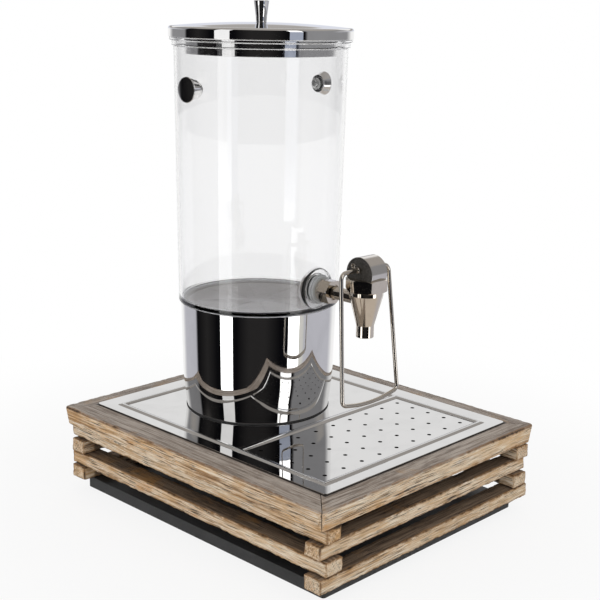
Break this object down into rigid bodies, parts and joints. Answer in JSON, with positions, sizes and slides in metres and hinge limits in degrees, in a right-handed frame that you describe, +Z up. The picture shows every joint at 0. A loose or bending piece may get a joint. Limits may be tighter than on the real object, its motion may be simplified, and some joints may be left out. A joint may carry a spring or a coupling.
{
  "type": "juice dispenser",
  "caption": "Countertop juice dispenser: clear tapered container with steel lid and lever tap, on a polished tray with drip grid and a stacked timber base.",
  "frame": {"origin": "under the middle of the wooden base, on the surface that the feet stand on", "axes": "+Z up along the container; the tap is in front, towards -Y; +X is to the right of someone who faces the tap"},
  "size_m": [0.3134, 0.3664, 0.499],
  "materials": {
    "frame_wood": "smooth grey-brown wax over fine open grain",
    "stack_wood": "limed white, rubbed through to warm brown at the edges",
    "plinth_black": "flat black stain",
    "mirror_steel": "mirror polished stainless sheet",
    "plated_tap": "nickel plated over turned and cast brass",
    "plated_head": "nickel plated, polished round, as cast on its end faces",
    "wire_chrome": "bright plated wire",
    "stud_chrome": "bright plated, turned",
    "screw_steel": "zinc plated",
    "clear_tube": "clear moulded plastic, polished",
    "clear_washer": "clear soft plastic, slightly milky",
    "white_silicone": "soft translucent silicone",
    "black_rubber": "matt",
    "pack_plastic": "blow moulded, filled with gel",
    "spring_steel": "drawn spring wire"
  },
  "bodies": {
    "base": {"frame_rail_left": "frame_wood", "frame_rail_right": "frame_wood", "frame_rail_front": "frame_wood", "frame_rail_rear": "frame_wood", "batten_1_left": "stack_wood", "batten_1_right": "stack_wood", "batten_2_front": "stack_wood", "batten_2_rear": "stack_wood", "batten_3_left": "stack_wood", "batten_3_right": "stack_wood", "batten_4_front": "stack_wood", "batten_4_rear": "stack_wood", "plinth_board": "plinth_black", "foot_pads": "black_rubber", "stack_screws": "screw_steel"},
    "tray": {"tray": "mirror_steel", "collar": "mirror_steel", "collar_seal": "black_rubber", "collar_screws": "screw_steel", "collar_nuts": "screw_steel"},
    "grid": {"drip_grid": "mirror_steel"},
    "pack": {"cooling_pack": "pack_plastic"},
    "container": {"container": "clear_tube", "outer_gasket": "white_silicone", "outer_washer": "clear_washer", "tap_nut": "plated_tap", "inner_gasket": "white_silicone", "lock_nut": "plated_tap", "tap_body": "plated_tap", "bonnet_gasket": "black_rubber", "tap_bonnet": "plated_tap", "stem_seal": "black_rubber", "tap_head": "plated_head", "head_pins": "plated_head", "stud_left": "stud_chrome", "stud_right": "stud_chrome", "stud_screws": "screw_steel", "stud_seals": "white_silicone", "valve_spring": "spring_steel"},
    "lid": {"lid_shell": "mirror_steel", "lid_base": "mirror_steel", "lid_knob": "mirror_steel", "knob_screw": "screw_steel"},
    "lever": {"lever_bail": "wire_chrome", "lever_cam": "plated_tap", "lever_collars": "wire_chrome"},
    "valve": {"valve_stem": "plated_tap", "valve_plug": "black_rubber"}
  },
  "joints": [
    {"name": "tray_lift", "type": "slide", "parent": "base", "child": "tray", "axis": [0, 0, 1], "range_m": [0, 0.06]},
    {"name": "grid_lift", "type": "slide", "parent": "tray", "child": "grid", "axis": [0, 0, 1], "range_m": [0, 0.035]},
    {"name": "container_lift", "type": "slide", "parent": "tray", "child": "container", "axis": [0, 0, 1], "range_m": [0, 0.26]},
    {"name": "pack_lift", "type": "slide", "parent": "tray", "child": "pack", "axis": [0, 0, 1], "range_m": [0, 0.1205]},
    {"name": "lid_lift", "type": "slide", "parent": "container", "child": "lid", "axis": [0, 0, 1], "range_m": [0, 0.07]},
    {"name": "lever_swing", "type": "hinge", "parent": "container", "child": "lever", "pos_m": [-0.0045, -0.09, 0.258], "axis": [1, 0, 0], "range_deg": [0, 30], "stiffness_Nm_per_rad": 0.04, "springref_deg": -68.75},
    {"name": "valve_lift", "type": "slide", "parent": "container", "child": "valve", "axis": [0, 0, 1], "range_m": [0, 0.00167], "deforming": ["valve_spring"]}
  ],
  "couplings": [
    {"joint": "valve_lift", "follows": "lever_swing", "m_per_rad": 0.003163},
    {"joint": "pack_lift", "follows": "container_lift", "ratio": 0.4634}
  ]
}
